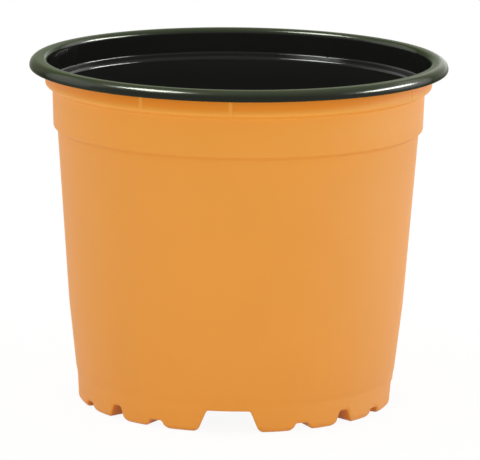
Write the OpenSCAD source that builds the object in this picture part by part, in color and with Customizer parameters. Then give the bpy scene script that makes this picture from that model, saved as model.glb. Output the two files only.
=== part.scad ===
// Round nursery pot, thermoformed from one two-colour sheet: terracotta outside, black inside.
// The sheet's edge is curled outwards into a bead, so the bead shows the black face.
// The origin is the middle of the foot plane, +Z is up and a large foot notch faces -Y.

/* [Overall] */
// Outer diameter over the rim bead
rim_d = 150; // [136:1:200]
// Height from the foot to the top of the bead
pot_h = 124.3; // [90:0.1:180]
// Outer diameter at the foot of the lower wall
foot_d = 115.4; // [106:0.1:118]
// Thickness of the formed sheet
sheet_t = 0.6; // [0.4:0.05:1]

/* [Rim bead] */
// Height of the curled bead
bead_h = 4; // [3.9:0.1:6]
// Width of the curled bead, from the inside of the pot outwards
bead_w = 6.3; // [5:0.1:9]
// Radius of the bead's sloping outer shoulder
bead_shoulder_r = 3.1; // [1.5:0.1:3.2]
// Radius of the bead's lower edge, where the sheet turns back in
bead_edge_r = 0.8; // [0.7:0.1:1.5]
// Slit between the sheet's edge and the collar, under the bead
curl_slit = 0.9; // [0.3:0.1:2]

/* [Collar] */
// Height of the collar, from the ledge's edge to the top of the bead
collar_h = 10.1; // [9:0.1:16]
// Width of the sloping stacking ledge
ledge_w = 2.6; // [1:0.1:4]
// Height of the sloping stacking ledge
ledge_h = 0.8; // [0.8:0.1:3]

/* [Stacking lugs] */
// Angle between the two stacking lugs of a pair, in degrees
lug_pair_angle = 27; // [10:1:45]
// Radius of a lug's half-round groove
lug_r = 1; // [0.8:0.1:2.5]
// Depth of a lug's groove
lug_depth = 0.5; // [0.3:0.1:0.8]
// Space between the top of a lug and the underside of the bead
lug_drop = 0.8; // [0.8:0.1:3]

/* [Wall] */
// Height of the upper wall, between the ledge and the step
upper_wall_h = 13.5; // [6:0.1:30]
// Draft angle of the upper wall, in degrees
upper_draft = 1.7; // [0.5:0.1:5]
// Width of the step below the upper wall
step_w = 1.5; // [0.8:0.1:3]
// Height of the step below the upper wall
step_h = 1.2; // [1:0.1:4]
// Radius of the bends at the ledge and at the step
bend_r = 0.7; // [0.7:0.1:1.2]
// Height of the soft bend in the lower wall
belly_h = 36; // [26:1:50]
// Distance by which the soft bend lies outside the straight line from the foot band to the step
belly_bow = 0.6495; // [0.1:0.0005:1.5]
// Radius of the soft bend
belly_r = 120; // [40:10:200]

/* [Foot] */
// Height of the recessed foot band
band_h = 10.4; // [9:0.1:16]
// Depth by which the foot band lies inside the wall
band_inset = 0.5; // [0.2:0.05:0.8]
// Draft angle of the foot band, in degrees
band_draft = 1; // [0.5:0.1:6]
// Radius of the foot's outer corner
foot_corner_r = 2.2; // [1.5:0.1:4]
// Width of the foot ring
foot_ring_w = 9; // [8:0.1:14]
// Height of the raised base above the ground
base_lift = 7.9; // [6.5:0.1:9]
// Draft angle of the recess under the base, in degrees
recess_draft = 12; // [5:1:20]
// Radius of the bends between the foot ring and the base
recess_bend_r = 1.5; // [1:0.1:2]

/* [Foot notches] */
// Width of the four large notches at the ground
large_notch_w = 21.8; // [18:0.1:26]
// Width of the four middle notches at the ground
middle_notch_w = 7.8; // [7:0.1:10]
// Height of the four middle notches
middle_notch_h = 5.2; // [4:0.1:6]
// Width of the eight small notches at the ground
small_notch_w = 7; // [6:0.1:8.5]
// Height of the eight small notches
small_notch_h = 2.8; // [2:0.1:4]
// Angle between a middle notch and the small one beside it
small_notch_angle = 18; // [17:0.5:20]
// Flare of the notches' sides from the vertical, in degrees
notch_flare = 22; // [10:1:28]
// Radius of the notches' upper corners
notch_corner_r = 0.9; // [0.5:0.1:1.2]
// Radius of the notches' lower edges, where their sides meet the ground
notch_toe_r = 3.3; // [1:0.1:3.6]

/* [Drain holes] */
// Number of drain holes in the ring
hole_count = 8; // [4:1:12]
// Diameter of a drain hole
hole_d = 8; // [5:0.5:11]
// Diameter of the circle that the drain holes lie on
hole_ring_d = 68; // [54:1:74]

/* [Hidden] */

$fn = 96;
// Largest turn between two neighbouring points of a bend, in degrees
arc_step = 18;
// Length by which a cutter reaches past the surface that it cuts
overcut = 2;
// Depth below the ground at which a notch's lower edge runs out
toe_sink = 0.1;
// Length by which a notch reaches into the recess
recess_lap = 0.3;

terracotta = "#dd9647";
black = "#1c1d1b";

// Radii and heights of the rim and the collar
rim_r = rim_d / 2;
bore_r = rim_r - bead_w;
collar_r = bore_r + sheet_t;
collar_top_z = pot_h - bead_h;
ledge_top_z = pot_h - collar_h;
ledge_foot_z = ledge_top_z - ledge_h;

// Radii and heights of the wall
upper_wall_r = collar_r - ledge_w;
step_top_z = ledge_foot_z - upper_wall_h;
step_top_r = upper_wall_r - upper_wall_h * tan(upper_draft);
step_foot_z = step_top_z - step_h;
step_foot_r = step_top_r - step_w;

// Radii of the foot
wall_foot_r = foot_d / 2;
wall_foot_z = band_h + 2 * band_inset;
band_top_r = wall_foot_r - band_inset;
foot_r = band_top_r - band_h * tan(band_draft);
ring_inner_r = foot_r - foot_ring_w;
recess_r = ring_inner_r - base_lift * tan(recess_draft);

// Outer radius at the soft bend
belly_share = (belly_h - wall_foot_z) / (step_foot_z - wall_foot_z);
belly_out_r = wall_foot_r + belly_share * (step_foot_r - wall_foot_r) + belly_bow;

// Places of the lugs
lug_axis_r = collar_r - lug_depth + lug_r;
lug_top_z = collar_top_z - lug_drop;

// Bends of the outer skin from the middle of the base to the collar: radius, height, bend radius
outer_skin = [
    [0, base_lift, 0],
    [recess_r, base_lift, recess_bend_r],
    [ring_inner_r, 0, recess_bend_r],
    [foot_r, 0, foot_corner_r],
    [band_top_r, band_h, band_inset],
    [wall_foot_r, wall_foot_z, band_inset],
    [belly_out_r, belly_h, belly_r],
    [step_foot_r, step_foot_z, bend_r],
    [step_top_r, step_top_z, bend_r],
    [upper_wall_r, ledge_foot_z, bend_r],
    [collar_r, ledge_top_z, bend_r],
    [collar_r, collar_top_z, 0]
];

// Bends of the black face along the bead, from the inside of the pot to the sheet's edge
bead_corner_r = 0.48 * bead_h;
bead_skin = [
    [bore_r, collar_top_z, 0],
    [bore_r, pot_h, bead_corner_r],
    [rim_r, pot_h, min(bead_shoulder_r, bead_h - bead_edge_r - 0.1)],
    [rim_r, collar_top_z, bead_edge_r],
    [collar_r + curl_slit, collar_top_z, 0]
];

function flat(corner) = [corner[0], corner[1]];
function heading(path, i) = let (d = flat(path[i + 1]) - flat(path[i])) d / norm(d);
function left_of(v) = [-v[1], v[0]];
function turned(v, a) = [v[0] * cos(a) - v[1] * sin(a), v[0] * sin(a) + v[1] * cos(a)];

// Points of one bend of a path that is moved by d to its left
function bend(path, i, d) = let (
    u = heading(path, i - 1),
    v = heading(path, i),
    a = atan2(cross(u, v), u * v),
    r = max(0, path[i][2] - sign(a) * d),
    tip = flat(path[i]) + d * (left_of(u) + left_of(v)) / (1 + u * v),
    middle = tip - u * r * tan(abs(a) / 2) + sign(a) * r * left_of(u),
    steps = ceil(abs(a) / arc_step)
) r == 0 ? [tip] : [for (k = [0:steps]) middle - sign(a) * r * turned(left_of(u), a * k / steps)];

// A path of bends, moved by d to its left
function skin(path, d) = let (last = len(path) - 1) [
    flat(path[0]) + d * left_of(heading(path, 0)),
    for (i = [1:last - 1]) each bend(path, i, d),
    flat(path[last]) + d * left_of(heading(path, last - 1))
];

function reversed(list) = [for (i = [len(list) - 1:-1:0]) list[i]];

// Everything inside a skin, up to height top_z
module inside_of(line, top_z) {
    rotate_extrude()
        polygon(concat(line, [[line[len(line) - 1][0], top_z], [0, top_z]]));
}

// Radial channel through the foot ring
module notch(width, height, grow) {
    side = tan(notch_flare);
    toe = width / 2 + toe_sink * side;
    roof = width / 2 - height * side;
    // Length that a bend takes from the straights beside it, for each millimetre of its radius
    share = tan(45 - notch_flare / 2);
    room = (height + toe_sink) / cos(notch_flare) / share - notch_corner_r;
    toe_r = min(notch_toe_r, room - 0.1);
    edge = toe + toe_r * share + toe_sink;
    outline = [
        [-edge, -toe_sink, 0],
        [-toe, -toe_sink, toe_r],
        [-roof, height, notch_corner_r],
        [roof, height, notch_corner_r],
        [toe, -toe_sink, toe_r],
        [edge, -toe_sink, 0]
    ];
    start = sqrt(pow(recess_r, 2) - pow(edge, 2)) - recess_lap;
    translate([0, -start, 0])
        rotate([90, 0, 0])
            linear_extrude(wall_foot_r - start + overcut)
                polygon(skin(outline, grow));
}

// All foot notches, grown by the sheet's thickness for the inner skin
module notches(grow) {
    for (quarter = [0:90:270]) {
        rotate(quarter)
            notch(large_notch_w, base_lift, grow);
        rotate(quarter + 45)
            notch(middle_notch_w, middle_notch_h, grow);
        for (side = [-1, 1])
            rotate(quarter + 45 + side * small_notch_angle)
                notch(small_notch_w, small_notch_h, grow);
    }
}

// Grooves of the four pairs of stacking lugs, grown by the sheet's thickness for the inner skin
module lugs(grow) {
    for (quarter = [0:90:270], angle = [0, -lug_pair_angle])
        rotate(quarter + angle)
            translate([0, -lug_axis_r, ledge_foot_z])
                cylinder(r = lug_r + grow, h = lug_top_z + grow - ledge_foot_z);
}

// Terracotta outside of the wall, foot and base
module outer_form() {
    color(terracotta)
        difference() {
            inside_of(skin(outer_skin, 0), collar_top_z);
            notches(0);
            lugs(0);
        }
}

// Black inside of the wall, foot and base
module inner_form() {
    color(black)
        difference() {
            inside_of(skin(outer_skin, sheet_t), collar_top_z + overcut);
            notches(sheet_t);
            lugs(sheet_t);
        }
}

// Sheet edge curled outwards and back under itself
module bead() {
    color(black)
        rotate_extrude()
            polygon(concat(skin(bead_skin, 0), reversed(skin(bead_skin, -sheet_t))));
}

// Drain holes through the raised base: one in the middle and a ring
module drain_holes() {
    color(black)
        translate([0, 0, base_lift - overcut]) {
            cylinder(d = hole_d, h = sheet_t + 2 * overcut);
            for (i = [0:hole_count - 1])
                rotate((i + 0.5) * 360 / hole_count)
                    translate([0, -hole_ring_d / 2, 0])
                        cylinder(d = hole_d, h = sheet_t + 2 * overcut);
        }
}

module pot() {
    difference() {
        outer_form();
        inner_form();
        drain_holes();
    }
    bead();
}

pot();
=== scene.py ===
"""A nursery pot, formed from one thin sheet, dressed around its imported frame.

The sheet is terracotta outside and black inside, and its edge is curled outwards into a bead.
Its section is a path of bends, swept round the upright axis on a grid whose columns crowd
together at the foot notches. Lengths are millimetres until a mesh is made, and angles are degrees
from the front, counted anticlockwise as seen from above. The front faces -Y.
"""

import logging
from dataclasses import dataclass, field
from enum import Enum

import bmesh
import bpy
import numpy as np
from mathutils import Matrix, Vector


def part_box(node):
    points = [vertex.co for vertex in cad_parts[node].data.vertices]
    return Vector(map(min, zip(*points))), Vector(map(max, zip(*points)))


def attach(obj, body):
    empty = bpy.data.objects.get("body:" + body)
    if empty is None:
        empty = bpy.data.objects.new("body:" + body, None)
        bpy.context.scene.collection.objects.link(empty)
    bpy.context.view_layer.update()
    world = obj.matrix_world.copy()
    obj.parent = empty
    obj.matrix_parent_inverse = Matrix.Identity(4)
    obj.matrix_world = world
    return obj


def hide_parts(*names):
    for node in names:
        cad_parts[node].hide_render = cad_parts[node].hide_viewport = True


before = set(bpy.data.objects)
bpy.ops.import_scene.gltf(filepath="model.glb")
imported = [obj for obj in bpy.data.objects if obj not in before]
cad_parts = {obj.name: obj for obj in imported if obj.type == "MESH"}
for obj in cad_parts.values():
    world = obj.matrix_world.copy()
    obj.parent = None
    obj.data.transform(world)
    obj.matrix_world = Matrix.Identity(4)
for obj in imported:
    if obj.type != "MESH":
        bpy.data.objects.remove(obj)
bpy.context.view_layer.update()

LOG = logging.getLogger("nursery_pot")

# Millimetres in a metre
METRE = 1000.0
# Angles of the pot's four quarters, each with a large notch and a pair of lugs
QUARTERS = (0.0, 90.0, 180.0, 270.0)
# Smallest radius that a bend keeps when its skin is moved
LEAST_BEND = 0.02
# Difference within which two angles are the same, in radians
SAME_ANGLE = 1e-6
# Height far below the pot, for places that no notch reaches
FAR_BELOW = -1000.0

# Linear red, green and blue
Colour = tuple[float, float, float]


class Face(Enum):
    """The sheet's faces, by the index of their material."""

    TERRACOTTA = 0
    BLACK = 1
    BEAD = 2


class Mark(Enum):
    """Attributes of the mesh that say where a feature is, from 0 to 1, used to paint a highlight on the
    lugs and shade in the notches.
    """

    LUG = "lug_mark"
    NOTCH = "notch_mark"


class Effect(Enum):
    """What a lamp gives the pot: highlights only, or even light only."""

    SHINE = "shine"
    EVEN = "even"


class Blend(Enum):
    """How a tone changes a colour: it takes the colour's place, or it shades it."""

    REPLACE = "MIX"
    SHADE = "MULTIPLY"


class NotchSize(Enum):
    """Width at the ground and height of the three sizes of foot notch."""

    LARGE = (21.8, 7.9)
    MIDDLE = (7.8, 5.2)
    SMALL = (7.0, 2.8)


def soft_min(a: np.ndarray, b: np.ndarray, width: float) -> np.ndarray:
    """The smaller of two values, with a parabola where they are within width of each other.

    Args:
        a: First values.
        b: Second values.
        width: Difference below which the two blend.

    Returns:
        The blended minimum.
    """
    return np.minimum(a, b) - np.maximum(width - np.abs(a - b), 0.0) ** 2 / (4.0 * width)


def smooth_step(low: float, high: float, value: np.ndarray) -> np.ndarray:
    """A smooth rise, three share squared less two share cubed, from 0 at low to 1 at high."""
    share = np.clip((value - low) / (high - low), 0.0, 1.0)
    return share * share * (3.0 - 2.0 * share)


def turned(first: np.ndarray, second: np.ndarray, angle: float) -> tuple[np.ndarray, np.ndarray]:
    """Turns a pair of directions in their own plane, the first one towards the second.

    The first becomes cos first + sin second, and the second becomes cos second - sin first.

    Args:
        first: One direction.
        second: A direction square to it.
        angle: Angle in degrees.

    Returns:
        The two turned directions.
    """
    along, aside = np.cos(np.radians(angle)), np.sin(np.radians(angle))
    return along * first + aside * second, along * second - aside * first


def remap(
    tree: bpy.types.NodeTree,
    value: bpy.types.NodeSocket,
    source: tuple[float, float],
    target: tuple[float, float],
) -> bpy.types.NodeSocket:
    """Adds a straight-line change from one range of values to another, held at its ends.

    Args:
        tree: Node tree that gets it.
        value: Value that is changed.
        source: First and last value of its range.
        target: What they become.

    Returns:
        The changed value.
    """
    change = tree.nodes.new("ShaderNodeMapRange")
    for name, number in zip(("From Min", "From Max", "To Min", "To Max"), (*source, *target)):
        change.inputs[name].default_value = number
    tree.links.new(value, change.inputs["Value"])
    return change.outputs["Result"]


@dataclass(frozen=True)
class Bend:
    """One corner of the section.

    Attributes:
        r: Radius of the corner, on the outer skin.
        z: Height of the corner, on the outer skin.
        radius: Radius of the bend, on the outer skin.
        rows: Grid rows on the straight stretch that leads to the bend.
        steps: Grid rows round the bend.
    """

    r: float
    z: float
    radius: float = 0.0
    rows: int = 1
    steps: int = 3


@dataclass
class Section:
    """The sheet's section, from the base out to the wall, up it and round the bead.

    Attributes:
        rim_d: Outer diameter over the bead.
        height: Height from the foot to the top of the bead.
        foot_d: Outer diameter at the foot of the lower wall.
        sheet: Thickness of the sheet.
        bead_h: Height of the bead.
        bead_w: Width of the bead, from the inside of the pot outwards.
        bead_curl_share: Radius of the bead's inner corner, as a share of its height.
        bead_shoulder: Radius of the bead's outer shoulder.
        bead_edge: Radius of the bead's lower edge, where the sheet turns back in.
        curl_slit: Slit between the sheet's edge and the collar.
        collar_h: Height from the ledge's upper edge to the top of the bead.
        ledge_w: Width of the sloping ledge.
        ledge_h: Height of the sloping ledge.
        ledge_top_bend: Radius of the bend between the ledge and the collar.
        ledge_foot_bend: Radius of the bend between the upper wall and the ledge.
        upper_wall_h: Height of the upper wall.
        upper_draft: Draft angle of the upper wall.
        step_w: Width of the step.
        step_h: Height of the step.
        wall_bend: Radius of the step's two bends.
        belly_h: Height of the soft bend in the lower wall.
        belly_d: Outer diameter at the soft bend.
        belly_bend: Radius of the soft bend.
        band_h: Height of the foot band.
        band_inset: Depth by which the foot band lies inside the wall.
        band_rise: Height over which the wall goes in to the band.
        band_bend: Radius of the two bends above the band.
        band_draft: Draft angle of the foot band.
        foot_corner: Radius of the foot's outer corner.
        foot_ring_w: Width of the foot ring.
        base_lift: Height of the raised base above the ground.
        recess_draft: Draft angle of the recess under the base.
        recess_bend: Radius of the bends between the foot ring and the base.
        plate_edge_r: Radius at which the section meets the base's plate.
    """

    rim_d: float = 150.0
    height: float = 124.3
    foot_d: float = 115.4
    sheet: float = 0.6
    bead_h: float = 3.7
    bead_w: float = 6.3
    bead_curl_share: float = 0.48
    bead_shoulder: float = 2.8
    bead_edge: float = 0.8
    curl_slit: float = 0.9
    collar_h: float = 9.4
    ledge_w: float = 2.6
    ledge_h: float = 1.5
    ledge_top_bend: float = 1.4
    ledge_foot_bend: float = 0.7
    upper_wall_h: float = 13.5
    upper_draft: float = 1.7
    step_w: float = 1.5
    step_h: float = 1.2
    wall_bend: float = 0.7
    belly_h: float = 36.0
    belly_d: float = 120.7
    belly_bend: float = 120.0
    band_h: float = 10.4
    band_inset: float = 0.5
    band_rise: float = 2.2
    band_bend: float = 3.0
    band_draft: float = 1.0
    foot_corner: float = 2.2
    foot_ring_w: float = 9.0
    base_lift: float = 7.9
    recess_draft: float = 12.0
    recess_bend: float = 1.5
    plate_edge_r: float = 41.0

    def fit(self, low: Vector, high: Vector) -> None:
        """Takes the overall sizes from the frame's box of the pot: the rim's width and the height.

        Args:
            low: Lowest corner of the box, in metres.
            high: Highest corner of the box, in metres.
        """
        self.rim_d = (high[0] - low[0]) * METRE
        self.height = (high[2] - low[2]) * METRE

    @property
    def collar_r(self) -> float:
        """Outer radius of the collar."""
        return self.rim_d / 2 - self.bead_w + self.sheet

    @property
    def collar_top(self) -> float:
        """Height of the bead's underside."""
        return self.height - self.bead_h

    @property
    def bead_curl(self) -> float:
        """Radius of the bead's inner corner."""
        return self.bead_curl_share * self.bead_h

    @property
    def ledge_foot(self) -> float:
        """Height of the lower edge of the stacking ledge."""
        return self.height - self.collar_h - self.ledge_h

    @property
    def base_top(self) -> float:
        """Height of the raised base's upper side."""
        return self.base_lift + self.sheet

    def bends(self) -> list[Bend]:
        """Works out the corners of the outer skin.

        Returns:
            The bends, from the underside of the base to the sheet's edge.
        """
        wall_r = self.foot_d / 2
        band_r = wall_r - self.band_inset
        band_top = self.band_h + self.band_inset - self.band_rise / 2
        foot_r = band_r - self.band_h * np.tan(np.radians(self.band_draft))
        ring_r = foot_r - self.foot_ring_w
        recess_r = ring_r - self.base_lift * np.tan(np.radians(self.recess_draft))
        upper_r = self.collar_r - self.ledge_w
        step_top = self.ledge_foot - self.upper_wall_h
        step_r = upper_r - self.upper_wall_h * np.tan(np.radians(self.upper_draft))
        inner_top = self.height - self.sheet
        inner_rim = self.rim_d / 2 - self.sheet
        curl = self.bead_curl - self.sheet
        return [
            Bend(self.plate_edge_r, self.base_lift),
            Bend(recess_r, self.base_lift, self.recess_bend),
            Bend(ring_r, 0.0, self.recess_bend, rows=3),
            Bend(foot_r, 0.0, self.foot_corner, rows=2, steps=6),
            Bend(band_r, band_top, self.band_bend, rows=12, steps=2),
            Bend(wall_r, band_top + self.band_rise, self.band_bend, steps=2),
            Bend(self.belly_d / 2, self.belly_h, self.belly_bend, rows=2),
            Bend(step_r - self.step_w, step_top - self.step_h, self.wall_bend, rows=3),
            Bend(step_r, step_top, self.wall_bend),
            Bend(upper_r, self.ledge_foot, self.ledge_foot_bend, rows=2, steps=4),
            Bend(self.collar_r, self.ledge_foot + self.ledge_h, self.ledge_top_bend, steps=5),
            Bend(self.collar_r, inner_top, curl, rows=6, steps=7),
            Bend(inner_rim, inner_top, self.bead_shoulder - self.sheet, steps=8),
            Bend(inner_rim, self.collar_top + self.sheet, self.bead_edge - self.sheet, steps=4),
            Bend(self.collar_r + self.curl_slit, self.collar_top + self.sheet),
        ]

    def skin(self, offset: float) -> np.ndarray:
        """The section moved to its left, which is inwards, with its bends drawn as arcs.

        Each bend is an arc tangent to the two stretches that meet there, and each straight
        stretch is divided with cosine spacing, so that rows crowd beside the bends.

        Args:
            offset: Distance that the section is moved by.

        Returns:
            One (radius, height) pair for each grid row.
        """
        bends = self.bends()
        corners = np.array([(bend.r, bend.z) for bend in bends])
        along = np.diff(corners, axis=0)
        along /= np.linalg.norm(along, axis=1)[:, None]
        left = np.stack([-along[:, 1], along[:, 0]], axis=1)
        line = [corners[:1] + offset * left[:1]]
        for k, bend in enumerate(bends[1:], start=1):
            if k == len(bends) - 1:
                arc = corners[k:] + offset * left[-1:]
            else:
                arc = self._arc(corners[k], along[k - 1], along[k], bend, offset)
            share = (1 - np.cos(np.pi * np.arange(1, bend.rows) / bend.rows)) / 2
            line.append(line[-1][-1] + share[:, None] * (arc[0] - line[-1][-1]))
            line.append(arc)
        return np.concatenate(line)

    @staticmethod
    def _arc(
        corner: np.ndarray, before: np.ndarray, after: np.ndarray, bend: Bend, offset: float
    ) -> np.ndarray:
        """The arc of one bend: its middle lies a tangent length back and a radius aside.

        Args:
            corner: Corner of the outer skin.
            before: Direction of the stretch that leads to the corner.
            after: Direction of the stretch that leaves it.
            bend: The bend at the corner.
            offset: Distance that the section is moved to its left.

        Returns:
            Points along the arc.
        """
        turn = np.arctan2(before[0] * after[1] - before[1] * after[0], before @ after)
        side = np.sign(turn)
        radius = max(bend.radius - side * offset, LEAST_BEND)
        normal = np.array([-before[1], before[0]])
        normal_after = np.array([-after[1], after[0]])
        tip = corner + offset * (normal + normal_after) / (1 + before @ after)
        middle = tip - before * radius * np.tan(abs(turn) / 2) + side * radius * normal
        angle = turn * np.linspace(0.0, 1.0, bend.steps + 1)[:, None]
        turned = np.cos(angle) * normal + np.sin(angle) * np.array([-normal[1], normal[0]])
        return middle - side * radius * turned


@dataclass
class FootNotches:
    """The sixteen flared notches of the foot ring, and the grid columns that follow them.

    Attributes:
        flare: Angle of a notch's sides from the vertical.
        corner_blend: Height over which a notch's roof turns into its side.
        toe_radius: Radius of a notch's lower edge, where its side meets the ground.
        toe_sink: Depth below the ground at which the lower edge runs out.
        edge_radius: Radius of the edge between a notch and the wall.
        small_angle: Angle between a middle notch and the small one beside it.
        inner_r: Radius inside which the columns are rays from the axis.
        outer_r: Radius outside which they are rays again.
        lug_reach: Distance from the middle within which columns crowd under a stacking lug.
        lug_share: Largest share of the roof that this distance takes.
        corner_reach: Distance from the roof's corner within which columns crowd.
        side_end: Distance inside the foot of the side at which the side's columns end.
        foot_start: Distance inside the foot of the side at which the foot's columns start.
        foot_end: Distance outside the foot of the side at which they end.
        places: Angle and size of each notch.
    """

    flare: float = 22.0
    corner_blend: float = 1.3
    toe_radius: float = 3.3
    toe_sink: float = 0.1
    edge_radius: float = 0.8
    small_angle: float = 18.0
    inner_r: float = 45.0
    outer_r: float = 57.4
    lug_reach: float = 1.4
    lug_share: float = 0.6
    corner_reach: float = 0.7
    side_end: float = 0.5
    foot_start: float = 0.4
    foot_end: float = 1.3
    places: list[tuple[float, NotchSize]] = field(init=False)

    def __post_init__(self) -> None:
        """Places the notches: large ones square on, middle ones between, small ones beside those."""
        self.places = []
        for quarter in QUARTERS:
            self.places += [
                (quarter, NotchSize.LARGE),
                (quarter + 45 - self.small_angle, NotchSize.SMALL),
                (quarter + 45, NotchSize.MIDDLE),
                (quarter + 45 + self.small_angle, NotchSize.SMALL),
            ]

    def _half_columns(self, size: NotchSize, angle: float) -> np.ndarray:
        """Distances of the grid columns on one side of a notch from its middle.

        Args:
            size: The notch's size.
            angle: The notch's angle, which says whether a stacking lug stands over it.

        Returns:
            Distances that crowd at the roof's corner and at the foot of the flared side.
        """
        width, height = size.value
        half = width / 2
        roof = half - height * np.tan(np.radians(self.flare))
        lug_half = min(self.lug_reach, roof * self.lug_share)
        under_lug = angle % 90 in (0, 45 + self.small_angle)
        plain_count = 4 if size is NotchSize.LARGE else 2
        stretches = [
            np.linspace(0.0, lug_half, 6 if under_lug else 2),
            np.linspace(lug_half, roof - self.corner_reach, plain_count),
            np.linspace(roof - self.corner_reach, roof + self.corner_reach, 4),
            np.linspace(roof + self.corner_reach, half - self.side_end, plain_count),
            np.linspace(half - self.foot_start, half + self.foot_end, 5),
        ]
        return np.unique(np.round(np.concatenate(stretches), 6))

    def columns(self, radius: np.ndarray) -> np.ndarray:
        """Angles of the grid columns at given radii.

        Beside a notch a column keeps its distance x from the notch's middle line, so its angle is
        the notch's angle plus arcsin(x / r). Columns between two notches share the gap evenly.

        Args:
            radius: Radius of each grid row.

        Returns:
            Angles in radians, one row per radius and one column per grid column.
        """
        reach = np.clip(radius, self.inner_r, self.outer_r)[:, None]
        groups = []
        for angle, size in self.places:
            half = self._half_columns(size, angle)
            groups.append(np.radians(angle) + np.arcsin(np.r_[-half[:0:-1], half] / reach))
        parts = []
        for k, group in enumerate(groups):
            following = groups[(k + 1) % len(groups)][:, :1]
            following = following + (2 * np.pi if k == len(groups) - 1 else 0.0)
            gap = following - group[:, -1:]
            parts += [group, group[:, -1:] + gap / 3, group[:, -1:] + 2 * gap / 3]
        return np.concatenate(parts, axis=1)

    def roof(self, radius: np.ndarray, angle: np.ndarray, grow: float) -> tuple[np.ndarray, np.ndarray]:
        """Height of the notches' roof and sides, as one height field.

        A notch is the smaller of its flat roof and its side, blended at the corner. The side is a
        straight flared line whose lower end is an arc: height = centre - sqrt(radius^2 - run^2),
        where run is the distance from the arc's middle. The field is the highest of all notches.
        In the blend its slope is a share of the side's, from none on the roof to all on the side.

        Args:
            radius: Radius of each point.
            angle: Angle of each point, in radians.
            grow: Distance by which the notch is grown, for the inner skin.

        Returns:
            The height at each point, and the cosine of the field's slope there.
        """
        slope = np.tan(np.radians(self.flare))
        turn = np.radians(90.0 - self.flare)
        toe = self.toe_radius - grow
        centre = self.toe_radius - self.toe_sink
        best = np.full(angle.shape, FAR_BELOW)
        lean = np.ones(angle.shape)
        for place, size in self.places:
            width, height = size.value
            delta = angle - np.radians(place)
            across = np.abs(radius * np.sin(delta))
            start = width / 2 + self.toe_sink * slope + self.toe_radius * np.tan(turn / 2)
            run = np.clip(start - across, 0.0, toe * np.sin(turn))
            rise = np.sqrt(toe**2 - run**2)
            line = (width / 2 + grow / np.cos(np.radians(self.flare)) - across) / slope
            on_line = start - across > toe * np.sin(turn)
            side = np.where(on_line, line, centre - rise)
            side = np.where(np.cos(delta) > 0, side, FAR_BELOW)
            steep = np.where(on_line, 1 / slope, run / rise)
            top = height + grow
            field_here = soft_min(np.full(side.shape, top), side, self.corner_blend)
            share = 0.5 + 0.5 * np.clip((top - side) / self.corner_blend, -1.0, 1.0)
            higher = field_here > best
            best = np.where(higher, field_here, best)
            lean = np.where(higher, 1 / np.sqrt(1 + (share * steep) ** 2), lean)
        return best, lean

    def form(
        self, radius: np.ndarray, height: np.ndarray, angle: np.ndarray, wall: np.ndarray, grow: float
    ) -> tuple[np.ndarray, np.ndarray, np.ndarray]:
        """Lifts the foot over the notches.

        On the ring the height becomes the larger of the section's and the notch's. On the wall
        the notch's edge is a quarter circle: the turn goes from 0 on the roof, one edge radius in
        from the wall, to 90 degrees on the wall, one edge radius from the notch. The inner skin
        has no such edge, so it is only lifted.

        Args:
            radius: Radius of each point.
            height: Height of each point.
            angle: Angle of each point, in radians.
            wall: 0 on the ring to 1 on the wall, for each point.
            grow: Distance by which the notches are grown, for the inner skin.

        Returns:
            The new radius and height of each point, and how far it is in a notch, from 0 to 1.
        """
        top, lean = self.roof(radius, angle, grow)
        ring_z = np.maximum(height, top)
        if grow:
            return radius, ring_z, np.zeros(radius.shape)
        # Rows that stand more upright than flat
        on_wall = wall[:, 0] > 0.5
        wall_z, wall_r = height[on_wall, 0], radius[on_wall, 0]
        to_edge = np.where(height < top, radius - np.interp(top, wall_z, wall_r), (height - top) * lean)
        turn = np.radians(45.0) * (np.clip(to_edge / self.edge_radius, -1.0, 1.0) + 1.0)
        edge_z = top + self.edge_radius * (1 - np.cos(turn)) / lean
        edge_r = np.interp(edge_z, wall_z, wall_r) - self.edge_radius * (1 - np.sin(turn))
        near = np.abs(to_edge) < self.edge_radius
        formed_z = np.where(near, edge_z, np.maximum(height, top))
        formed_r = np.where(near, np.minimum(edge_r, radius + self.edge_radius), radius)
        return (
            radius + wall * (formed_r - radius),
            ring_z + wall * (formed_z - ring_z),
            smooth_step(0.0, self.edge_radius, -to_edge),
        )


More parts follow.
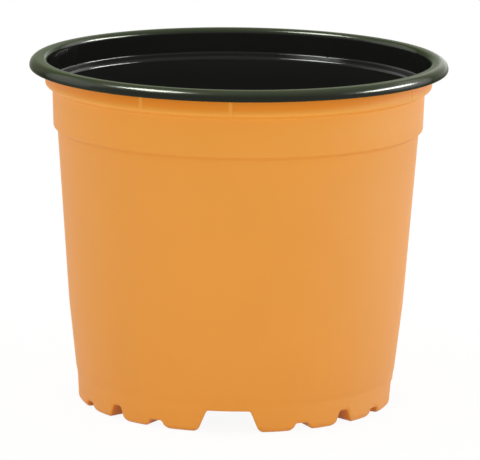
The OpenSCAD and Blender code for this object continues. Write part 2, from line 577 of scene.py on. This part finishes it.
@dataclass
class StackingLugs:
    """The four pairs of half-round grooves pressed into the collar.

    The sheet is thinner in them, so they stand out less on the inside.

    Attributes:
        pair_angle: Angle between the two lugs of a pair.
        groove_r: Radius of the half-round groove.
        depth: Depth of the groove.
        drop: Space between the top of a lug and the bead's underside.
        top_blend: Height above and below a lug's top over which it fades.
        foot_reach: Distance below the ledge's foot down to which a lug may reach.
        inner_share: Share of the depth that shows on the inside.
    """

    pair_angle: float = 27.0
    groove_r: float = 1.0
    depth: float = 0.4
    drop: float = 0.8
    top_blend: float = 0.5
    foot_reach: float = 1.0
    inner_share: float = 0.35

    def form(
        self, radius: np.ndarray, height: np.ndarray, angle: np.ndarray, section: Section, grow: float
    ) -> tuple[np.ndarray, np.ndarray]:
        """Presses the grooves into the collar.

        A ray from the pot's axis meets the groove's circle at a cos(d) - sqrt(g^2 - a^2 sin(d)^2),
        where a is the radius of the groove's middle, g its own radius and d the angle between them.

        Args:
            radius: Radius of each point.
            height: Height of each point.
            angle: Angle of each point, in radians.
            section: The pot's section.
            grow: Distance by which the grooves are grown, for the inner skin.

        Returns:
            The new radius of each point, and how far it is in a groove, from 0 to 1.
        """
        axis_r = section.collar_r - self.depth + self.groove_r
        groove = self.groove_r + grow
        top = section.collar_top - self.drop
        fade = 1 - smooth_step(top - self.top_blend, top + self.top_blend, height)
        fade = fade * (height > section.ledge_foot - self.foot_reach)
        pressed = radius
        share = self.inner_share if grow else 1.0
        for quarter in QUARTERS:
            for place in (quarter, quarter - self.pair_angle):
                delta = angle - np.radians(place)
                under = groove**2 - (axis_r * np.sin(delta)) ** 2
                inside = (under > 0) & (np.cos(delta) > 0)
                circle = axis_r * np.cos(delta) - np.sqrt(np.maximum(under, 0.0))
                pressed = np.where(inside, np.minimum(pressed, circle), pressed)
        push = share * fade * (radius - pressed)
        return radius - push, np.clip(push / self.depth, 0.0, 1.0)


@dataclass
class DrainHoles:
    """The middle hole of the base, the ring of holes and the plate round each of them.

    Attributes:
        diameter: Diameter of a hole.
        count: Number of holes in the ring.
        ring_d: Diameter of the circle that they lie on.
        plate_inner_r: Radius at which the ring's plates meet the middle one.
        side_rows: Grid rows along the straight sides of a plate.
        plate_rows: Grid rows from a plate's outline to its hole.
    """

    diameter: float = 8.0
    count: int = 8
    ring_d: float = 68.0
    plate_inner_r: float = 27.0
    side_rows: int = 5
    plate_rows: int = 1

    def plate(self, rim_angles: np.ndarray, rim_r: float, low: float, high: float) -> np.ndarray:
        """One sector of the base round its hole, as a grid that goes round and across.

        Each ray goes from the sector's outline to the hole's circle on the underside, up the
        hole's wall and back to the outline on the top.

        Args:
            rim_angles: Angles of the grid columns that bound the sector.
            rim_r: Outer radius of the sector.
            low: Height of the underside.
            high: Height of the top.

        Returns:
            Points, by place round the outline and place across the plate.
        """
        spin = np.stack([np.sin(rim_angles), -np.cos(rim_angles)], axis=1)
        share = np.linspace(0.0, 1.0, self.side_rows + 1)[1:-1, None]
        outer, inner = spin * rim_r, spin * self.plate_inner_r
        first = inner[0] + share * (outer[0] - inner[0])
        last = outer[-1] + share * (inner[-1] - outer[-1])
        outline = np.concatenate([outer, last, inner[::-1], first])
        middle_angle = (rim_angles[0] + rim_angles[-1]) / 2
        middle = self.ring_d / 2 * np.array([np.sin(middle_angle), -np.cos(middle_angle)])
        ray = outline - middle
        circle = middle + ray * (self.diameter / 2 / np.linalg.norm(ray, axis=1))[:, None]
        across = np.linspace(0.0, 1.0, self.plate_rows + 1)[None, :, None]
        flat = outline[:, None] + across * (circle - outline)[:, None]
        under = np.concatenate([flat, np.full((*flat.shape[:2], 1), low)], axis=2)
        top = np.concatenate([flat, np.full((*flat.shape[:2], 1), high)], axis=2)
        return np.concatenate([under, top[:, ::-1]], axis=1)


@dataclass
class MeshParts:
    """Collects grids of points and the face of the sheet that each of their quads shows.

    Attributes:
        points: Points of each grid, in millimetres.
        quads: Corners of each grid's quads, by their index among all points.
        faces: Material index of each grid's quads.
        marks: Value of each mark at each grid's points.
        total: Number of points so far.
    """

    points: list[np.ndarray] = field(default_factory=list)
    quads: list[np.ndarray] = field(default_factory=list)
    faces: list[np.ndarray] = field(default_factory=list)
    marks: list[np.ndarray] = field(default_factory=list)
    total: int = 0

    def add(self, grid: np.ndarray, rows: np.ndarray, marks: np.ndarray) -> None:
        """Adds a grid that closes on itself along its first direction.

        Each quad joins a point with the next one round, the next one across and the one between.

        Args:
            grid: Points, by place round and place across.
            rows: Material index of each strip across.
            marks: Value of each mark at each point.
        """
        around, across = grid.shape[:2]
        index = self.total + np.arange(around * across).reshape(around, across)
        here, onward = index, np.roll(index, -1, axis=0)
        quads = np.stack([here[:, :-1], onward[:, :-1], onward[:, 1:], here[:, 1:]], axis=2)
        self.points.append(grid.reshape(-1, 3))
        self.quads.append(quads.reshape(-1, 4))
        self.faces.append(np.broadcast_to(rows, quads.shape[:2]).reshape(-1))
        self.marks.append(marks.reshape(-1, len(Mark)))
        self.total += around * across

    def build(self, name: str, weld: float) -> bpy.types.Object:
        """Makes one mesh object, in metres, with the grids welded where they meet.

        Args:
            name: Name of the object.
            weld: Distance below which points are merged, in metres.

        Returns:
            The object.
        """
        mesh = bpy.data.meshes.new(name)
        points = np.concatenate(self.points) / METRE
        mesh.from_pydata(points, [], np.concatenate(self.quads))
        mesh.polygons.foreach_set("material_index", np.concatenate(self.faces).astype(np.int32))
        marks = np.concatenate(self.marks).astype(np.float32)
        for k, mark in enumerate(Mark):
            values = mesh.attributes.new(mark.value, "FLOAT", "POINT")
            values.data.foreach_set("value", np.ascontiguousarray(marks[:, k]))
        work = bmesh.new()
        work.from_mesh(mesh)
        bmesh.ops.remove_doubles(work, verts=work.verts, dist=weld)
        bmesh.ops.recalc_face_normals(work, faces=work.faces)
        work.to_mesh(mesh)
        work.free()
        mesh.shade_smooth()
        piece = bpy.data.objects.new(name, mesh)
        bpy.context.scene.collection.objects.link(piece)
        return piece


@dataclass
class PotShell:
    """The whole pot: one closed sheet.

    Attributes:
        section: The section that is swept round the axis.
        notches: The notches of the foot ring.
        lugs: The lugs of the collar.
        holes: The holes of the base.
        ring_middle_r: Radius that parts the foot ring's inner rows from its outer ones.
        notch_margin: Height above the foot band up to which the notches form the rows.
        weld: Distance below which points are merged, in metres.
    """

    section: Section = field(default_factory=Section)
    notches: FootNotches = field(default_factory=FootNotches)
    lugs: StackingLugs = field(default_factory=StackingLugs)
    holes: DrainHoles = field(default_factory=DrainHoles)
    ring_middle_r: float = 50.0
    notch_margin: float = 2.0
    weld: float = 2e-6

    def _skin_grid(self, offset: float) -> tuple[np.ndarray, np.ndarray]:
        """One skin of the sheet, swept round the axis and formed.

        A point of the section at radius r and height z goes to (r sin a, -r cos a, z) at the
        angle a. Rows past the foot's lowest one belong to the wall by how upright they stand.

        Args:
            offset: Distance of the skin from the outer one.

        Returns:
            Points, by column and row, and the two marks at each of them.
        """
        outer, line = self.section.skin(0.0), self.section.skin(offset)
        along = np.gradient(outer, axis=0)
        upright = along[:, 1] / np.linalg.norm(along, axis=1)
        outside = outer[:, 0] > self.ring_middle_r
        lowest = np.argmin(np.where(outside, np.abs(outer[:, 1]), np.inf))
        past_ring = outside & (np.arange(len(outer)) > lowest)
        wall = np.where(past_ring, np.clip(upright, 0.0, 1.0), 0.0)
        angle = self.notches.columns(line[:, 0])
        radius = np.broadcast_to(line[:, :1], angle.shape)
        height = np.broadcast_to(line[:, 1:], angle.shape)
        low = outer[:, 1] < self.section.band_h + self.notch_margin
        new_r, new_z, in_notch = radius.copy(), height.copy(), np.zeros(radius.shape)
        new_r[low], new_z[low], in_notch[low] = self.notches.form(
            radius[low], height[low], angle[low], wall[low, None], offset
        )
        new_r, in_lug = self.lugs.form(new_r, new_z, angle, self.section, offset)
        spun = np.stack([new_r * np.sin(angle), -new_r * np.cos(angle), new_z], axis=2)
        marks = np.stack([in_lug, in_notch], axis=2)
        return spun.transpose(1, 0, 2), marks.transpose(1, 0, 2)

    def _add_sheet(self, parts: MeshParts) -> None:
        """Adds the swept sheet: the outer skin from the base to the bead's edge, and back inside.

        The black face belongs to the bead above the bead's inner corner and outside the collar.

        Args:
            parts: Mesh that gets it.
        """
        outside, outer_marks = self._skin_grid(0.0)
        inside, inner_marks = self._skin_grid(self.section.sheet)
        back = inside[:, ::-1]
        on_bead = back[0, :, 2] > self.section.height - self.section.bead_curl
        on_bead |= np.hypot(back[0, :, 0], back[0, :, 1]) > self.section.collar_r
        black = np.where(on_bead, Face.BEAD.value, Face.BLACK.value)
        faces = np.r_[np.full(outside.shape[1] - 1, Face.TERRACOTTA.value), black]
        marks = np.concatenate([outer_marks, inner_marks[:, ::-1]], axis=1)
        parts.add(np.concatenate([outside, back], axis=1), faces, marks)

    def _add_middle(self, parts: MeshParts) -> None:
        """Adds the middle of the base: in along its underside, up the hole's wall and out on top.

        Args:
            parts: Mesh that gets it.
        """
        reach = np.array([self.holes.plate_inner_r, self.holes.diameter / 2])
        line = np.r_[reach, reach[::-1]]
        height = np.repeat([self.section.base_lift, self.section.base_top], len(reach))
        angle = self._base_angles()
        spin = np.stack([np.sin(angle), -np.cos(angle)], axis=1)
        flat = spin[:, None, :] * line[None, :, None]
        lift = np.broadcast_to(height[None, :, None], (len(angle), len(line), 1))
        under = np.full(len(reach) - 1, Face.TERRACOTTA.value)
        faces = np.r_[under, np.full(len(reach), Face.BLACK.value)]
        marks = np.zeros((len(angle), len(line), len(Mark)))
        parts.add(np.concatenate([flat, lift], axis=2), faces, marks)

    def _add_plates(self, parts: MeshParts) -> None:
        """Adds the plates round the ring of holes, each over an equal share of the circle.

        Args:
            parts: Mesh that gets them.
        """
        angle = self._base_angles()
        full = np.r_[angle, angle + 2 * np.pi]
        rows = self.holes.plate_rows
        faces = np.repeat([Face.TERRACOTTA.value, Face.BLACK.value], [rows, rows + 1])
        for k in range(self.holes.count):
            start, end = 2 * np.pi * np.array([k, k + 1]) / self.holes.count
            sector = full[(full > start - SAME_ANGLE) & (full < end + SAME_ANGLE)]
            low, high = self.section.base_lift, self.section.base_top
            plate = self.holes.plate(sector, self.section.plate_edge_r, low, high)
            parts.add(plate, faces, np.zeros((*plate.shape[:2], len(Mark))))

    def _base_angles(self) -> np.ndarray:
        """Angles of the grid columns on the base, in radians."""
        return self.notches.columns(np.array([self.section.plate_edge_r]))[0]

    def build(self) -> bpy.types.Object:
        """Builds the pot's mesh.

        Returns:
            The pot's object, at the origin, with its three material slots still to fill.
        """
        parts = MeshParts()
        self._add_sheet(parts)
        self._add_middle(parts)
        self._add_plates(parts)
        return parts.build("nursery_pot", self.weld)


@dataclass(frozen=True)
class SheetFinish:
    """One face of the formed plastic sheet.

    Attributes:
        name: Name of the material.
        bands: Heights up the pot, in metres, and the linear colour at each of them; its changes with
            height are painted light and shade.
        cloud_shade: Share of the colour that is left in faint clouds in the sheet.
        roughness: Mean roughness.
        roughness_spread: How far the roughness wanders.
        ior: Index of refraction, which sets the gloss.
        gloss: Level of the gloss, 0.5 for a plain plastic.
        grazing_gloss: Level of the gloss where the face is seen edge on.
        gloss_turn: How far the face is turned away, from 0 to 1, where the change starts and ends.
        gloss_tint: Tint of the gloss.
        peel_height: Height of the fine orange-peel skin, in metres.
        wave_height: Height of the slow waves left by forming, in metres.
        sheen: Weight of the soft sheen where the face is seen edge on.
        sheen_tint: Tint of the sheen.
        sheen_roughness: Roughness of the sheen.
        light_and_shade_marks: Marks of the mesh, and the linear colour where each is full: a painted
            highlight on the lugs and painted shade in the notches.
        clouds: Cells in a metre, and octaves, of the noise that makes the clouds.
        wander: The same for the noise that moves the roughness.
        waves: The same for the slow waves.
        peel: The same for the orange-peel skin.
    """

    name: str
    bands: tuple[tuple[float, Colour], ...]
    cloud_shade: float
    roughness: float
    roughness_spread: float
    ior: float
    gloss: float
    grazing_gloss: float
    gloss_turn: tuple[float, float]
    gloss_tint: Colour
    peel_height: float
    wave_height: float
    sheen: float = 0.0
    sheen_tint: Colour = (1.0, 1.0, 1.0)
    sheen_roughness: float = 0.4
    light_and_shade_marks: tuple[tuple[Mark, Colour], ...] = ()
    clouds: tuple[float, float] = (38.0, 3.0)
    wander: tuple[float, float] = (140.0, 2.0)
    waves: tuple[float, float] = (45.0, 1.0)
    peel: tuple[float, float] = (900.0, 1.0)

    def build(self) -> bpy.types.Material:
        """Makes the material: a plastic with clouds, an orange-peel skin and slow waves.

        The roughness wanders round its mean, and the gloss falls as the face turns away.

        Returns:
            The material.
        """
        material = bpy.data.materials.new(self.name)
        material.use_nodes = True
        tree = material.node_tree
        shader = tree.nodes["Principled BSDF"]
        shader.inputs["IOR"].default_value = self.ior
        shader.inputs["Specular IOR Level"].default_value = self.gloss
        shader.inputs["Specular Tint"].default_value = (*self.gloss_tint, 1.0)
        shader.inputs["Sheen Weight"].default_value = self.sheen
        shader.inputs["Sheen Roughness"].default_value = self.sheen_roughness
        shader.inputs["Sheen Tint"].default_value = (*self.sheen_tint, 1.0)
        place = tree.nodes.new("ShaderNodeTexCoord").outputs["Object"]
        tree.links.new(self._colour(tree, place), shader.inputs["Base Color"])
        reach = (self.roughness - self.roughness_spread, self.roughness + self.roughness_spread)
        rough = remap(tree, self._noise(tree, place, self.wander), (0.0, 1.0), reach)
        tree.links.new(rough, shader.inputs["Roughness"])
        edge_on = tree.nodes.new("ShaderNodeLayerWeight").outputs["Facing"]
        gloss = remap(tree, edge_on, self.gloss_turn, (self.gloss, self.grazing_gloss))
        tree.links.new(gloss, shader.inputs["Specular IOR Level"])
        wave = self._bump(tree, self._noise(tree, place, self.waves), self.wave_height, None)
        peel = self._bump(tree, self._noise(tree, place, self.peel), self.peel_height, wave)
        tree.links.new(peel, shader.inputs["Normal"])
        return material

    def _colour(self, tree: bpy.types.NodeTree, place: bpy.types.NodeSocket) -> bpy.types.NodeSocket:
        """Adds the whole colour: that of each height, shaded in the clouds, and the painted highlight
        and shade of the marks.

        Args:
            tree: Node tree that gets it.
            place: Coordinates that it reads.

        Returns:
            The colour.
        """
        shade = (self.cloud_shade, self.cloud_shade, self.cloud_shade)
        clouds = self._noise(tree, place, self.clouds)
        colour = self._blend(tree, self._tone(tree, place), shade, clouds, Blend.SHADE)
        for mark, tone in self.light_and_shade_marks:
            where = tree.nodes.new("ShaderNodeAttribute")
            where.attribute_name = mark.value
            colour = self._blend(tree, colour, tone, where.outputs["Fac"], Blend.REPLACE)
        return colour

    @staticmethod
    def _blend(
        tree: bpy.types.NodeTree,
        colour: bpy.types.NodeSocket,
        tone: Colour,
        share: bpy.types.NodeSocket,
        way: Blend,
    ) -> bpy.types.NodeSocket:
        """Adds a blend of a colour with a plain tone.

        Args:
            tree: Node tree that gets it.
            colour: Colour that is changed.
            tone: Tone that it takes up.
            share: How much of the change is made, from 0 to 1.
            way: How the tone changes the colour.

        Returns:
            The changed colour.
        """
        mix = tree.nodes.new("ShaderNodeMix")
        mix.data_type = "RGBA"
        mix.blend_type = way.value
        mix.inputs["B"].default_value = (*tone, 1.0)
        tree.links.new(share, mix.inputs["Factor"])
        tree.links.new(colour, mix.inputs["A"])
        return mix.outputs["Result"]

    def _tone(self, tree: bpy.types.NodeTree, place: bpy.types.NodeSocket) -> bpy.types.NodeSocket:
        """Adds the colour of each height: a ramp over the bands, straight between two of them.

        Args:
            tree: Node tree that gets it.
            place: Coordinates that it reads.

        Returns:
            The colour.
        """
        low, high = self.bands[0][0], self.bands[-1][0]
        axes = tree.nodes.new("ShaderNodeSeparateXYZ")
        tree.links.new(place, axes.inputs["Vector"])
        share = remap(tree, axes.outputs["Z"], (low, high), (0.0, 1.0))
        ramp = tree.nodes.new("ShaderNodeValToRGB")
        stops = ramp.color_ramp.elements
        for height, _ in self.bands[1:-1]:
            stops.new((height - low) / (high - low))
        for stop, (_, tone) in zip(stops, self.bands):
            stop.color = (*tone, 1.0)
        tree.links.new(share, ramp.inputs["Fac"])
        return ramp.outputs["Color"]

    @staticmethod
    def _noise(
        tree: bpy.types.NodeTree, place: bpy.types.NodeSocket, grain: tuple[float, float]
    ) -> bpy.types.NodeSocket:
        """Adds a noise texture.

        Args:
            tree: Node tree that gets it.
            place: Coordinates that it reads.
            grain: Cells in a metre, and octaves of finer noise.

        Returns:
            Its value, from 0 to 1.
        """
        noise = tree.nodes.new("ShaderNodeTexNoise")
        noise.inputs["Scale"].default_value, noise.inputs["Detail"].default_value = grain
        tree.links.new(place, noise.inputs["Vector"])
        return noise.outputs["Fac"]

    @staticmethod
    def _bump(
        tree: bpy.types.NodeTree,
        height: bpy.types.NodeSocket,
        depth: float,
        below: bpy.types.NodeSocket | None,
    ) -> bpy.types.NodeSocket:
        """Adds a bump.

        Args:
            tree: Node tree that gets it.
            height: Height map, from 0 to 1.
            depth: Distance from the lowest to the highest point, in metres.
            below: Normal that the bump lies on, or None.

        Returns:
            The bumped normal.
        """
        bump = tree.nodes.new("ShaderNodeBump")
        bump.inputs["Distance"].default_value = depth
        tree.links.new(height, bump.inputs["Height"])
        if below is not None:
            tree.links.new(below, bump.inputs["Normal"])
        return bump.outputs["Normal"]


TERRACOTTA_FACE = SheetFinish(
    name="terracotta_face",
    bands=(
        # Darker at the foot: painted shade near the ground.
        (0.0000, (0.728, 0.278, 0.037)),
        (0.0300, (0.750, 0.289, 0.041)),
        (0.0900, (0.750, 0.289, 0.041)),
        # Lighter just under the ledge: painted light that lifts the shade under the ledge.
        (0.1126, (0.790, 0.305, 0.037)),
        # Lighter line on the ledge: a painted highlight of the light that the ledge's edge catches from
        # the floor.
        (0.1135, (0.830, 0.335, 0.046)),
        (0.1150, (0.840, 0.345, 0.048)),
        # Deeper, redder orange on the collar: painted shade under the bead's overhang.
        (0.1160, (0.795, 0.303, 0.030)),
        (0.1172, (0.825, 0.246, 0.009)),
        (0.1200, (0.840, 0.248, 0.007)),
    ),
    cloud_shade=0.93,
    roughness=0.46,
    roughness_spread=0.03,
    ior=1.45,
    gloss=0.45,
    grazing_gloss=0.20,
    gloss_turn=(0.45, 0.85),
    gloss_tint=(0.96, 1.0, 0.62),
    peel_height=0.00002,
    wave_height=0.0001,
    # The lug tone is a painted highlight on the lug grooves; the notch tone is painted shade inside the
    # notches.
    light_and_shade_marks=((Mark.LUG, (0.860, 0.350, 0.045)), (Mark.NOTCH, (0.720, 0.200, 0.006))),
)

BLACK_FACE = SheetFinish(
    name="black_face",
    bands=(
        (0.0000, (0.0215, 0.0220, 0.0200)),
        (0.1120, (0.0215, 0.0220, 0.0200)),
        # Darker inside the collar, under the bead: painted shade.
        (0.1160, (0.0150, 0.0156, 0.0136)),
        (0.1240, (0.0150, 0.0156, 0.0136)),
    ),
    cloud_shade=0.75,
    roughness=0.12,
    roughness_spread=0.02,
    ior=1.40,
    gloss=0.16,
    grazing_gloss=0.01,
    gloss_turn=(0.4, 0.75),
    gloss_tint=(0.96, 1.0, 0.92),
    peel_height=0.000005,
    wave_height=0.000012,
)

BEAD_FACE = SheetFinish(
    name="bead_face",
    bands=(
        (0.1200, (0.0045, 0.0052, 0.0030)),
        (0.1224, (0.0060, 0.0070, 0.0040)),
        # Lighter at the bead's top: the black's own olive tint, lightened as a painted reflection on
        # the top.
        (0.1242, (0.0320, 0.0440, 0.0180)),
    ),
    cloud_shade=0.80,
    roughness=0.20,
    roughness_spread=0.03,
    ior=1.40,
    gloss=0.28,
    grazing_gloss=0.006,
    gloss_turn=(0.3, 0.6),
    gloss_tint=(0.94, 1.0, 0.86),
    sheen=0.10,
    sheen_tint=(0.62, 0.86, 0.22),
    peel_height=0.000015,
    wave_height=0.00006,
)


@dataclass(frozen=True)
class Lamp:
    """A soft lamp, aimed at the pot.

    Attributes:
        name: Name of the lamp.
        azimuth: Angle round the pot from the front, positive to the right.
        elevation: Angle above the ground.
        distance: Distance from the pot, in metres.
        width: Width of its face, in metres.
        height: Height of its face, in metres.
        power: Power in watts.
        effect: What it gives the pot.
    """

    name: str
    azimuth: float
    elevation: float
    distance: float
    width: float
    height: float
    power: float
    effect: Effect

    def build(self, target: Vector) -> None:
        """Adds the lamp to the scene.

        With azimuth a and elevation e it stands its distance from the target in the direction
        (sin a cos e, -cos a cos e, sin e).

        Args:
            target: Point that the lamp faces.
        """
        data = bpy.data.lights.new(self.name, "AREA")
        data.shape = "RECTANGLE"
        data.size, data.size_y = self.width, self.height
        data.energy = self.power
        turn, rise = np.radians(self.azimuth), np.radians(self.elevation)
        back = Vector((np.sin(turn) * np.cos(rise), -np.cos(turn) * np.cos(rise), np.sin(rise)))
        lamp = bpy.data.objects.new(self.name, data)
        lamp.location = target + back * self.distance
        lamp.rotation_euler = (-back).to_track_quat("-Z", "Y").to_euler()
        lamp.visible_diffuse = self.effect is Effect.EVEN
        lamp.visible_glossy = self.effect is Effect.SHINE
        bpy.context.scene.collection.objects.link(lamp)


@dataclass
class Studio:
    """The white floor and surroundings, the lamps and the camera.

    Attributes:
        floor_half: Half the width of the floor, in metres.
        floor_colour: Linear colour of the floor.
        floor_roughness: Roughness of the floor.
        floor_glow: Share of plain white in the floor where it is seen.
        fill: Strength of the light from the surroundings.
        aim_height: Height of the point that the lamps face, in metres.
        view_distance: Distance of the camera from the pot's axis, in metres.
        view_height: Height of the camera, in metres.
        view_turn: Angle of the camera round the pot, from the front.
        view_pitch: Angle by which the camera looks down.
        view_yaw: Angle by which it looks to the right of the axis.
        view_roll: Angle by which its right side is tipped up.
        lens: Focal length, in millimetres.
        sensor: Width of the sensor, in millimetres.
        lamps: The lamps.
    """

    floor_half: float = 3.0
    floor_colour: Colour = (0.92, 0.92, 0.92)
    floor_roughness: float = 0.9
    floor_glow: float = 0.93
    fill: float = 0.96
    aim_height: float = 0.06
    view_distance: float = 1.4676
    view_height: float = 0.3576
    view_turn: float = 2.2
    view_pitch: float = 11.412
    view_yaw: float = 0.044
    view_roll: float = 0.717
    lens: float = 311.2
    sensor: float = 36.0
    # Name, azimuth, elevation, distance, width, height, power and effect
    lamps: tuple[Lamp, ...] = (
        Lamp("front_lamp", 4.0, 8.0, 2.2, 4.5, 0.6, 6.5, Effect.EVEN),
        Lamp("left_lamp", -77.0, 61.0, 1.6, 0.70, 0.50, 70.0, Effect.SHINE),
        Lamp("right_lamp", 96.0, 25.0, 1.6, 1.00, 0.28, 74.0, Effect.SHINE),
        Lamp("side_lamp", -116.0, 22.0, 2.0, 2.20, 1.40, 16.0, Effect.SHINE),
        Lamp("edge_lamp", 135.0, 10.0, 2.5, 4.50, 3.00, 120.0, Effect.SHINE),
        Lamp("rim_lamp", 145.0, 8.0, 2.0, 1.50, 1.00, 7.0, Effect.EVEN),
    )

    def build(self) -> None:
        """Makes the whole studio."""
        self._world()
        self._floor()
        target = Vector((0.0, 0.0, self.aim_height))
        for lamp in self.lamps:
            lamp.build(target)
            LOG.info("lamp %s at %.0f, %.0f degrees", lamp.name, lamp.azimuth, lamp.elevation)
        self._camera()
        bpy.context.scene.view_settings.view_transform = "Standard"

    @staticmethod
    def _seen(tree: bpy.types.NodeTree) -> bpy.types.NodeSocket:
        """Adds a value that is 1 for camera, glossy and transmission rays, and 0 for others.

        It is the largest of the three kinds' own values.

        Args:
            tree: Node tree that gets it.

        Returns:
            The value.
        """
        path = tree.nodes.new("ShaderNodeLightPath")
        total = path.outputs["Is Camera Ray"]
        for ray in ("Is Glossy Ray", "Is Transmission Ray"):
            either = tree.nodes.new("ShaderNodeMath")
            either.operation = "MAXIMUM"
            tree.links.new(total, either.inputs[0])
            tree.links.new(path.outputs[ray], either.inputs[1])
            total = either.outputs["Value"]
        return total

    def _world(self) -> None:
        """Makes the surroundings: white where seen, and a plain fill light elsewhere."""
        world = bpy.data.worlds.new("studio")
        bpy.context.scene.world = world
        world.use_nodes = True
        tree = world.node_tree
        light = tree.nodes["Background"]
        light.inputs["Color"].default_value = (1.0, 1.0, 1.0, 1.0)
        level = remap(tree, self._seen(tree), (0.0, 1.0), (self.fill, 1.0))
        tree.links.new(level, light.inputs["Strength"])

    def _floor(self) -> None:
        """Makes the floor: mostly white to the camera, so that only a faint shadow shows."""
        half = self.floor_half
        mesh = bpy.data.meshes.new("floor")
        corners = [(-half, -half, 0), (half, -half, 0), (half, half, 0), (-half, half, 0)]
        mesh.from_pydata(corners, [], [(0, 1, 2, 3)])
        floor = bpy.data.objects.new("floor", mesh)
        bpy.context.scene.collection.objects.link(floor)
        material = bpy.data.materials.new("white_floor")
        material.use_nodes = True
        tree = material.node_tree
        paint = tree.nodes["Principled BSDF"]
        paint.inputs["Base Color"].default_value = (*self.floor_colour, 1.0)
        paint.inputs["Roughness"].default_value = self.floor_roughness
        glow = tree.nodes.new("ShaderNodeEmission")
        mix = tree.nodes.new("ShaderNodeMixShader")
        share = tree.nodes.new("ShaderNodeMath")
        share.operation = "MULTIPLY"
        share.inputs[1].default_value = self.floor_glow
        tree.links.new(self._seen(tree), share.inputs[0])
        tree.links.new(share.outputs["Value"], mix.inputs["Fac"])
        tree.links.new(paint.outputs["BSDF"], mix.inputs[1])
        tree.links.new(glow.outputs["Emission"], mix.inputs[2])
        tree.links.new(mix.outputs["Shader"], tree.nodes["Material Output"].inputs["Surface"])
        floor.data.materials.append(material)

    def _camera(self) -> None:
        """Places the camera as the photograph's: turned, pitched down and rolled a little.

        Its directions start along the axes, and each angle turns two of them.
        """
        right, ahead, up = np.eye(3)
        right, ahead = turned(right, ahead, self.view_turn)
        spot = self.view_height * up - self.view_distance * ahead
        ahead, right = turned(ahead, right, self.view_yaw)
        ahead, up = turned(ahead, up, -self.view_pitch)
        right, up = turned(right, up, self.view_roll)
        data = bpy.data.cameras.new("camera")
        data.lens = self.lens
        data.sensor_width = self.sensor
        camera = bpy.data.objects.new("camera", data)
        pose = np.eye(4)
        pose[:3] = np.stack([right, up, -ahead, spot], axis=1)
        camera.matrix_world = Matrix(pose.tolist())
        bpy.context.scene.collection.objects.link(camera)
        bpy.context.scene.camera = camera


def main() -> None:
    """Builds the pot and the studio, and reports each piece."""
    Studio().build()
    shell = PotShell()
    shell.section.fit(*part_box("pot"))
    pot = shell.build()
    for finish in (TERRACOTTA_FACE, BLACK_FACE, BEAD_FACE):
        pot.data.materials.append(finish.build())
        LOG.info("finish %s", finish.name)
    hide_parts("pot")
    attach(pot, "root")
    LOG.info("piece %s: %d faces", pot.name, len(pot.data.polygons))


if __name__ == "__main__":
    logging.basicConfig(level=logging.INFO, format="%(name)s: %(message)s")
    main()
